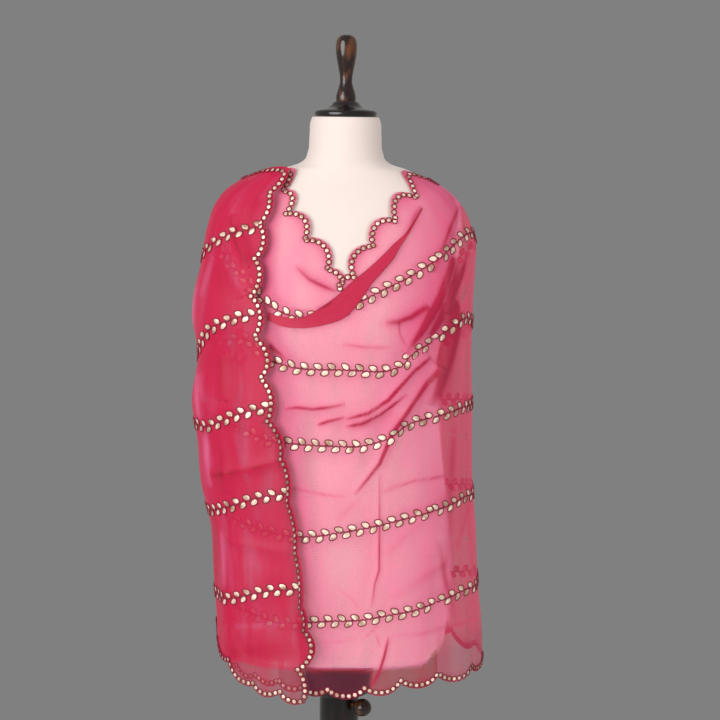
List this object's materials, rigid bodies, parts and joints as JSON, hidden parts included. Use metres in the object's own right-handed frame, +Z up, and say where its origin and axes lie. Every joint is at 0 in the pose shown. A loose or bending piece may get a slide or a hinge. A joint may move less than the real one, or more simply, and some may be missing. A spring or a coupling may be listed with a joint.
{
  "type": "dupatta stole on a dress form",
  "caption": "Sheer scallop-edged dupatta stole wound as a cape about a limbless dress form with a turned finial, pole and round base.",
  "frame": {"origin": "centre of the base's underside, on the floor below the pole's axis", "axes": "+Z up along the pole, -Y towards the viewer and the wearer's front, +X to the viewer's right"},
  "size_m": [0.4465, 0.35, 1.577],
  "materials": {
    "organza_outer_end": "sheer crimson organza",
    "organza_back": "sheer crimson organza",
    "organza_right_side": "sheer crimson organza",
    "organza_front": "sheer crimson organza",
    "organza_under_lap": "sheer crimson organza",
    "organza_cowl_fold": "folded crimson organza",
    "cream_jersey": "matt cream jersey",
    "black_cap": "black lacquer",
    "dark_wood": "dark polish",
    "collar_wood": "black lacquer",
    "pole_black": "black lacquer",
    "knob_wood": "dark polish",
    "base_black": "black lacquer"
  },
  "bodies": {
    "root": {"cloth_outer_end": "organza_outer_end", "cloth_back": "organza_back", "cloth_right_side": "organza_right_side", "cloth_front": "organza_front", "cloth_under_lap": "organza_under_lap", "cloth_cowl_fold": "organza_cowl_fold", "dress_form_torso": "cream_jersey", "neck_cap": "black_cap", "finial": "dark_wood", "stand_collar": "collar_wood", "stand_pole": "pole_black", "clamp_knob": "knob_wood", "stand_base": "base_black"}
  },
  "joints": []
}
